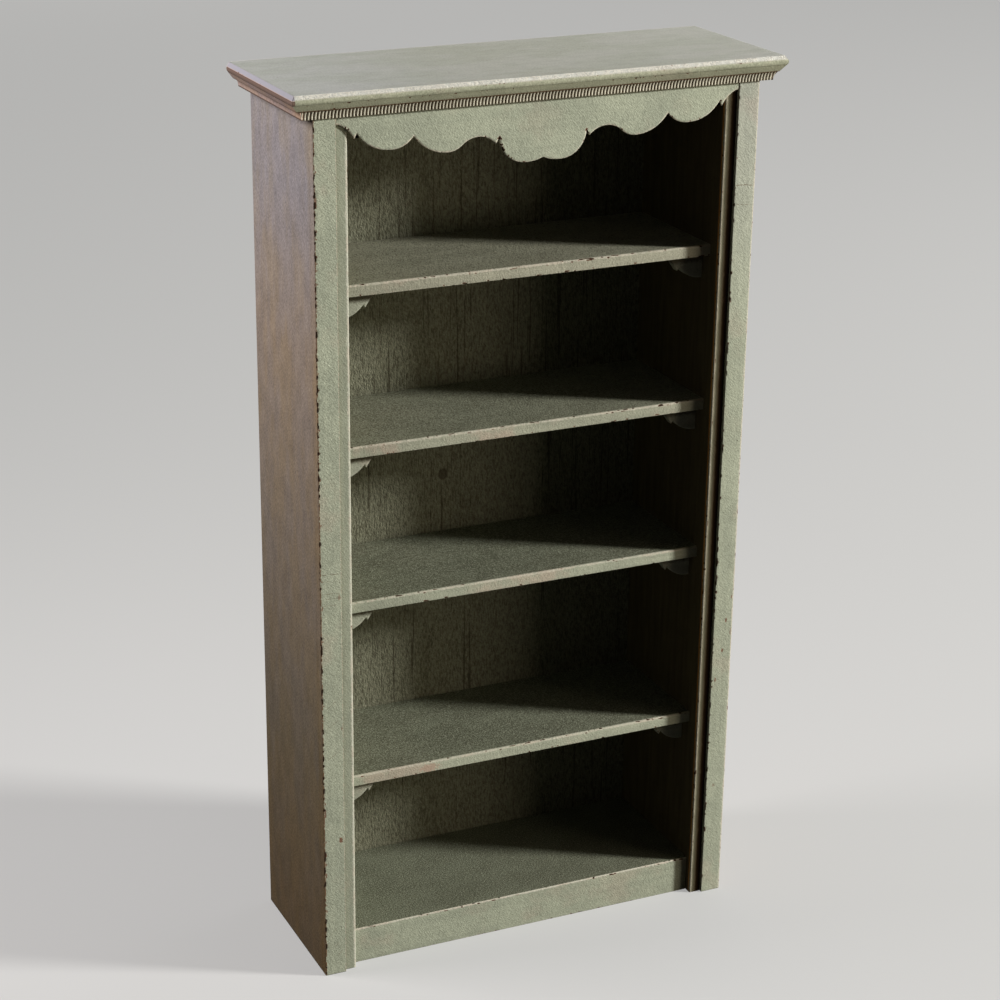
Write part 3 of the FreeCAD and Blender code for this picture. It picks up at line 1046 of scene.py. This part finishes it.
def top_paint():
    """Top face, greener on the front edge, with an open mitre on the left end; the left end's lilac is
    painted fill light over painted shade on its nosing, and the right end is painted darker as shade.
    """
    s = Shader("top_paint")
    soft = 0.0006
    edge_y = front_y - front_reach + bevel_reach + 2 * soft
    end_x = half_width + side_packing + front_reach - bevel_reach - 0.0002
    corner = end_x + bevel_reach + front_y - front_reach
    front_edge = s.band(s.y, edge_y + soft, edge_y - soft)
    front, flecks = top_front(s)
    colour = s.mix(front_edge, top_face(s), front)
    # Painted shade: the right end's moulded edge darker and greener than the pale front bevel, against
    # the strong key light there.
    right_edge = s.band(s.x, end_x - soft, end_x + soft)
    right_edge = right_edge * s.band(s.x + s.y - corner, -0.0004, 0.0004)
    colour = s.mix(right_edge, colour, painted(s, "y", (0.4, 0.41, 0.33), (0.35, 0.36, 0.29)))
    # Painted light and shade on the left end: the lilac fill light on its bevel, an orange rubbed band at
    # the bevel's foot, and dark painted shade on the nosing below.
    left_edge = s.band(s.x, soft - end_x, -soft - end_x)
    lilac = s.ramp((top_z - s.z) / (top_z - top_under_z),
                   (0.0, (0.355, 0.362, 0.405)), (0.6, (0.17, 0.115, 0.09)),
                   (0.42, (0.355, 0.352, 0.395)), (0.47, (0.45, 0.33, 0.26)),
                   (0.51, (0.08, 0.045, 0.035)))
    colour = s.mix(left_edge, colour, lilac)
    mitre = s.band(abs(s.x - s.y + corner), 0.0011, 0.0004) * left_edge
    colour = s.mix(mitre * 0.8, colour, (0.07, 0.045, 0.035))
    far_edge = s.band(s.y, back_y - 0.0035, back_y - 0.002) * 0.5
    colour = s.mix(far_edge, colour, (0.52, 0.51, 0.46))
    colour = s.mix(s.pits(0.045, 0.0016, 0.35), colour, (0.1, 0.085, 0.06))
    s.bump((0.0003, s.noise(0.0022, 2.0, 0.5)), (0.0009, s.noise((0.05, 0.02, 0.05))),
           (0.0007, flecks * front_edge))
    # On the left end the rubbed paint takes the painted lilac of the fill light.
    return s.finish(worn(s, colour, s.mix(left_edge, cream, (0.44, 0.4, 0.43)), 0.55), top_rough)


def moulding_paint(name, ridge, hollow_colour):
    """Front mouldings: pale where they stand out, painted brown as shade in their grooves and joints."""
    s = Shader(name)
    colour = worn(s, painted(s, "x", ridge, shaded(ridge, 0.85), 0.15))
    # Painted shade in the grooves and along the joints, broken by noise.
    groove_shade = s.attribute("hollow") + 0.35 * s.noise(0.006, 3.0, 0.6)
    brush(s, 0.5)
    return s.finish(s.mix(s.band(groove_shade, 0.58, 1.02), colour, hollow_colour), paint_rough)


def inner_side_paint():
    """Sage strip beside each stile, darker towards the stile as painted shade, the right strip under the
    right stile's painted shadow; the left cheek sage too, the right one painted dark brown as shade with
    a painted orange glow of bounced light near its front.
    """
    s = Shader("inner_side_paint")
    from_bay = abs(s.x) - bay_x
    colour = painted(s, "z", *sages(0.8))
    # Painted shade: both strips darker near the stile's step.
    colour = s.scaled(colour, -0.15 * s.band(from_bay, 0.015, 0.0225) + 1.0)
    across = from_bay / strip_width
    wander = across + 0.12 * s.noise((0.01, 0.01, 0.03)) - 0.06
    # Painted shadow of the right stile on its strip: lit beside the bay, falling to near black towards
    # the stile.
    painted_shade = s.ramp(wander,
                   (0.0, (0.44, 0.405, 0.31)), (1.0, (0.008, 0.004, 0.002)),
                   (0.1, (0.4, 0.375, 0.285)), (0.21, (0.185, 0.172, 0.118)),
                   (0.32, (0.078, 0.071, 0.044)), (0.5, (0.046, 0.033, 0.017)),
                   (0.7, (0.02, 0.01, 0.004)))
    right = s.x > 0.0
    # Left strip: painted shade darkening it towards its stile; right strip: the painted shadow above.
    strip = s.mix(right, s.mix(across * 0.25, colour, (0.27, 0.27, 0.2)), painted_shade)
    # Right cheek: dark brown as painted shade, with a painted orange glow of bounced light near its front
    # edge.
    near = s.band(s.y, strip_y + 0.01, strip_y + 0.003)
    brown = s.mix(near, (0.07, 0.056, 0.03), (0.55, 0.25, 0.08))
    brown = s.scaled(brown, 1.2 * s.noise((0.012, 0.012, 0.15), 4.0, 0.6) + 0.4)
    inside_bay = s.band(s.y, strip_y + 0.0022, strip_y + 0.0032)
    colour = s.mix(inside_bay, strip, s.mix(right, colour, brown))
    brush(s)
    return s.finish(worn(s, colour, strip_cream), paint_rough, shade_gloss)


def shelf_top_colour(s):
    """Darker grey-green with a close speckle, browner towards the left, and lighter and warmer on the
    upper shelves as painted light.
    """
    cloud = s.noise((0.1, 0.06, 0.1), 4.0, 0.6)
    top = s.mix(s.band(cloud, 0.4, 0.6), (0.214, 0.23, 0.163), (0.176, 0.187, 0.131))
    # Painted light: the upper shelves' tops lighter and warmer.
    top = s.scaled(top, 0.38 * s.band(s.z, 0.85, 1.45) + 0.78)
    top = s.tinted(top, (1.13, 1.04, 1.08), s.band(s.z, 0.85, 1.4))
    brown = s.band(s.x + 0.6 * s.noise(0.2), 0.2, -0.15) * s.band(s.z, 0.1, 0.7)
    top = s.mix(brown * 0.4, top, (0.205, 0.175, 0.125))
    speck = s.noise(0.003, 3.0, 0.65)
    top = s.mix(s.band(speck, 0.52, 0.62) * 0.8, top, (0.31, 0.32, 0.24))
    top = s.mix(s.band(speck, 0.48, 0.38) * 0.9, top, (0.095, 0.09, 0.063))
    return s.mix(s.pits(0.016, 0.0013, 0.35), top, (0.03, 0.025, 0.016))


def shelf_paint():
    """Sage front edges, warmer on the upper shelves, and darker speckled tops."""
    s = Shader("shelf_paint")
    edge = painted(s, "x", *sages(0.9), 0.6)
    edge = s.tinted(edge, (1.1, 1.01, 1.02), s.band(s.z, 0.85, 1.4), (1.02, 1.0, 1.0))
    edge = s.scaled(edge, 0.14 * s.band(s.x, -0.4, -0.15) - 0.16 * s.band(s.z, 0.45, 1.4) + 0.94)
    behind = s.band(s.y, shelf_y + 0.0042, shelf_y + 0.0052)
    colour = s.mix(behind, edge, shelf_top_colour(s))
    bare = s.blot(shelf_bare_place, shelf_bare_size) * s.band(s.z, 0.6, 0.55)
    colour = s.mix(bare * 0.7, colour, (0.42, 0.29, 0.22))
    s.bump((0.0012, s.noise(0.0032, 3.0, 0.6)), (0.0009, s.noise(0.02)))
    return s.finish(worn(s, colour, shelf_cream, 0.65), paint_rough, shade_gloss)


def rail_paint():
    """Front paint, with its top edge coloured like the bottom shelf behind it."""
    s = Shader("rail_paint")
    colour = worn(s, painted(s, "x", *sages(0.92)), rail_cream)
    behind = s.band(s.y, rail_y + 0.0018, rail_y + 0.0024)
    brush(s)
    return s.finish(s.mix(behind, colour, shelf_top_colour(s)), paint_rough, shade_gloss)


def wall_paint():
    """Dark green-brown back: broken upright ridges, dark lines and a knot."""
    s = Shader("back_paint")
    ridges = s.noise((0.0029, 0.02, 0.01), 3.0, 0.65)
    boards = s.noise((0.06, 0.06, 0.5), 3.0, 0.6)
    colour = s.mix(s.band(boards, 0.35, 0.65), (0.163, 0.163, 0.117), (0.15, 0.149, 0.105))
    colour = s.mix(s.band(ridges, 0.5, 0.62) * 0.45, colour, (0.24, 0.245, 0.176))
    colour = s.mix(s.band(ridges, 0.48, 0.38) * 0.6, colour, (0.062, 0.057, 0.037))
    lines = s.band(s.noise((0.006, 0.02, 0.3), 3.0, 0.6), 0.61, 0.66)
    colour = s.mix(lines * 0.6, colour, (0.03, 0.022, 0.013))
    strokes = s.noise((0.0055, 0.02, 0.0027), 2.0, 0.6, brush_turn)
    colour = s.scaled(colour, 1.1 * strokes + 0.45)
    knot = s.band(s.distance(wall_knot_place, wall_knot_size), 1.1, 0.8)
    colour = s.mix(knot * 0.7, colour, (0.045, 0.035, 0.022))
    s.bump((0.0026, ridges), (0.0014, strokes), (0.0012, s.noise(0.02)))
    return s.finish(colour, 0.82, shade_gloss)


def pine_wood():
    s = Shader("bare_pine")
    rings = s.noise((0.012, 0.012, 0.5), 4.0, 0.6)
    fine = s.noise((0.0016, 0.0016, 0.06), 3.0, 0.6)
    colour = s.mix(s.band(rings, 0.42, 0.58), (0.46, 0.32, 0.18), (0.33, 0.205, 0.105))
    colour = s.mix(s.band(fine, 0.5, 0.66) * 0.45, colour, (0.26, 0.15, 0.075))
    s.bump((0.0004, fine), (0.0005, rings))
    return s.finish(colour, 0.3 * fine + 0.5 * rings)


def screw_steel():
    s = Shader("steel")
    tarnish = s.noise(0.0012, 3.0, 0.6)
    colour = s.mix(s.band(tarnish, 0.42, 0.62), (0.5, 0.49, 0.47), (0.24, 0.22, 0.2))
    s.bump((0.00008, s.noise(0.0006, 2.0)), (0.00006, tarnish))
    s.set(s.surface.inputs["Metallic"], 1.0)
    return s.finish(colour, 0.65 * tarnish, 0.5)


# Marks of long use on the fronts, as (x, z)
stile_scratches = (
    ((-0.4535, 0.879), (-0.414, 0.877), 0.0009),
    ((-0.453, 0.865), (-0.418, 0.863), 0.0006),
    ((-0.454, 0.8385), (-0.412, 0.8375), 0.0008),
    ((-0.453, 0.829), (-0.411, 0.827), 0.001),
    ((-0.454, 0.815), (-0.42, 0.814), 0.0006),
    ((-0.447, 0.594), (-0.413, 0.62), 0.0007),
    ((-0.45, 0.55), (-0.418, 0.57), 0.0006),
    ((-0.445, 0.485), (-0.414, 0.506), 0.0007),
    ((-0.444, 0.09), (-0.428, 0.108), 0.0006),
    ((-0.438, 0.06), (-0.42, 0.078), 0.0006),
    ((-0.43, 0.04), (-0.415, 0.056), 0.0007),
    ((0.4115, 1.553), (0.4545, 1.55), 0.0014),
    ((0.413, 1.515), (0.45, 1.512), 0.0008),
)
stile_red_patches = (
    ((-0.4187, 0.3045), (0.004, 0.0065), 0.85),
    ((-0.416, 0.828), (0.003, 0.006), 0.55),
    ((-0.4143, 0.5489), (0.0018, 0.004), 0.6),
    ((0.4394, 0.635), (0.0022, 0.006), 0.85),
    ((0.4335, 0.568), (0.003, 0.0045), 0.85),
    ((0.4202, 0.502), (0.0024, 0.005), 0.8),
    ((0.4509, 0.6061), (0.002, 0.008), 0.7),
    ((0.4498, 0.6851), (0.002, 0.005), 0.7),
    ((0.4278, 0.2552), (0.0035, 0.004), 0.4),
)
shelf_bare_place = (-0.209, 0.404)
shelf_bare_size = (0.021, 0.01)
wall_knot_place = (-0.058, 0.918)
wall_knot_size = (0.011, 0.013)


# Scene

lamp_target = (0, 0, 0.9)
warm_white = (1.0, 0.98, 0.95)
pale_backdrop = (0.8, 0.8, 0.79, 1)
world_colour = (1.0, 0.7, 0.45, 1)
world_strength = 0.014
floor_reach = 40.0
floor_bounce = (0.05, 0.05, 0.048, 1)
floor_glow = 0.75
floor_glow_share = 0.6


def add_light(name, place, target, energy, size, colour, shape="RECTANGLE"):
    """Flat lamp of a (width, height) that faces its target."""
    light = bpy.data.lights.new(name, "AREA")
    light.shape = shape
    light.size, light.size_y = size
    light.energy = energy
    light.color = colour
    lamp = add_object(name, light)
    lamp.location = place
    lamp.rotation_mode = "QUATERNION"
    lamp.rotation_quaternion = (Vector(target) - Vector(place)).to_track_quat("-Z", "Y")


def make_lights():
    """Key far to the right, a low warm lamp by it, a lilac fill, a softbox and a rear lamp."""
    add_light("key", (12.6, -6.9, 5.7), lamp_target, 3700, (2.0, 2.0), (1.0, 0.985, 0.95), "DISK")
    add_light("low_lamp", (4.28, -4.2, 1.0), lamp_target, 75, (2.1, 1.2), (1.0, 0.86, 0.68))
    add_light("fill", (-2.0, 0.55, 2.6), (-0.45, 0.05, 1.4), 44, (0.9, 0.9), (1.0, 0.93, 0.93))
    add_light("rear", (3.0, 20.0, 1.0), (0, 0.2, 0.9), 1000, (4.0, 1.4), warm_white)
    add_light("softbox", (1.0, 0.6, 2.6), (0.3, 0, 1.8), 5.6, (0.9, 0.9), (0.98, 0.96, 1.0))


def make_camera():
    lens = bpy.data.cameras.new("camera")
    lens.lens = camera_lens
    lens.shift_x, lens.shift_y = camera_shift
    lens.clip_end = 100
    camera = add_object("camera", lens)
    camera.location = camera_place
    camera.rotation_euler = camera_turn
    bpy.context.scene.camera = camera


def make_world():
    """Pale where it is seen, and a dim warm light on the object."""
    s = Nodes("sky", bpy.data.worlds)
    dim = s.made["Background"]
    s.set(dim.inputs["Color"], world_colour)
    s.set(dim.inputs["Strength"], world_strength)
    shown = s.node("Background", {"Color": pale_backdrop})
    s.show("World Output", s.either(s.seen_directly(), dim, shown))
    bpy.context.scene.world = s.owner


def make_floor():
    """Pale floor that keeps the bookcase's shadow and throws little light back up."""
    s = Nodes("floor", bpy.data.materials)
    s.made.remove(s.made["Principled BSDF"])
    matt = s.node("BsdfDiffuse", {"Color": pale_backdrop})
    dim = s.node("BsdfDiffuse", {"Color": floor_bounce})
    glow = s.node("Emission", {"Color": pale_backdrop, "Strength": floor_glow})
    pale = s.either(floor_glow_share, matt, glow)
    s.show("Material Output", s.either(s.seen_directly(), dim, pale))
    mesh = bpy.data.meshes.new("floor")
    corners = [(x * floor_reach, y * floor_reach, 0) for x, y in ((-1, -1), (1, -1), (1, 1), (-1, 1))]
    mesh.from_pydata(corners, [], [(0, 1, 2, 3)])
    mesh.materials.append(s.owner)
    add_object("floor", mesh)


make_camera()
make_lights()
make_world()
make_floor()
bpy.context.scene.view_settings.view_transform = "Standard"

bracket_finish = bracket_paint()
stile_finish = stile_paint()
inner_finish = inner_side_paint()
shelf_finish = shelf_paint()
wash = side_wash()
pine = pine_wood()
steel = screw_steel()

make_top_board(top_paint())
# Each moulding paint's last colour is the brown of its painted shade.
cornice_finish = moulding_paint("cornice_paint", cornice_sage, (0.13, 0.075, 0.045))
make_front_moulding("cornice_front", cornice_profile(), side_packing, cornice_relief, fine_step,
                    (0.25, 0.1), cornice_finish)
reed_finish = moulding_paint("reed_paint", reed_cream, (0.12, 0.075, 0.04))
make_front_moulding("reeded_trim_front", trim_profile(), trim_packing, reed_relief,
                    reed_pitch / reed_samples, (0.15, 0.0), reed_finish)

# Rounding, rub and chips of the long arrises, in the order of each board's section
stile_wear = {
    "left": ((plain_arris, seam_arris, plain_arris, plain_arris), (0.2, 0.15, 0, 0), (0.5, 0.02, 0, 0)),
    "right": ((plain_arris,) * 4, (0.25, 0.8, 0, 0), (0.25, 0.05, 0, 0)),
}
strip_wear = {
    "left": ((plain_arris, shelf_arris, plain_arris, plain_arris), (0.1, 0.8, 0, 0), (0, 0.03, 0, 0)),
    "right": ((shelf_arris, plain_arris, plain_arris, plain_arris), (0.35, 0.1, 0, 0), (0.06, 0, 0, 0)),
}
shelf_wear = ((shelf_arris / 2, plain_arris, plain_arris, shelf_arris), (0.3, 0, 0, 0.5),
              (0.14, 0, 0, 0.08))
bottom_shelf_wear = ((seam_arris, plain_arris, plain_arris, seam_arris), (0,) * 4, (0,) * 4)
rail_wear = ((plain_arris, plain_arris, seam_arris, shelf_arris / 2), (0.3, 0, 0, 0.7), (0.1, 0, 0, 0.16))
shelf_seed = 17

side_moulding = return_wash()
for side, name in ((-1, "left"), (1, "right")):
    make_return("cornice_" + name, side, cornice_profile(), side_packing, side_moulding)
    make_return("trim_return_" + name, side, trim_profile(), trim_packing, side_moulding)
    plank("stile_" + name, "z", stile_finish, "front_paint", fine_step, *stile_wear[name])
    plank("inner_side_" + name, "z", inner_finish, "front_paint", fine_step, *strip_wear[name])
    plank("side_panel_" + name, "z", wash, "side_paint")
    plank("front_batten_" + name, "z", pine, "bare_pine", coarse_step)
    plank("rear_batten_" + name, "z", pine, "bare_pine")

make_valance(valance_paint())
for number in range(1, 5):
    plank("shelf_%d" % number, "x", shelf_finish, "shelf_paint", fine_step, *shelf_wear,
          shelf_seed + number)
    for name in ("left", "right"):
        make_bracket("bracket_%d_%s" % (number, name), bracket_finish)
plank("bottom_shelf", "x", shelf_finish, "shelf_paint", plain_step, *bottom_shelf_wear)
plank("bottom_rail", "x", rail_paint(), "front_paint", fine_step, *rail_wear)
panel_low, panel_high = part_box("back_panel")
panel_high.y -= nail_standing
plank("back_panel", "z", wall_paint(), "back_paint", box=(panel_low, panel_high))
for name in ("front", "rear"):
    plank("top_rail_" + name, "x", pine, "bare_pine")
make_back_nails(steel)
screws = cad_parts["top_screws"].data.materials
screws.clear()
screws.append(steel)
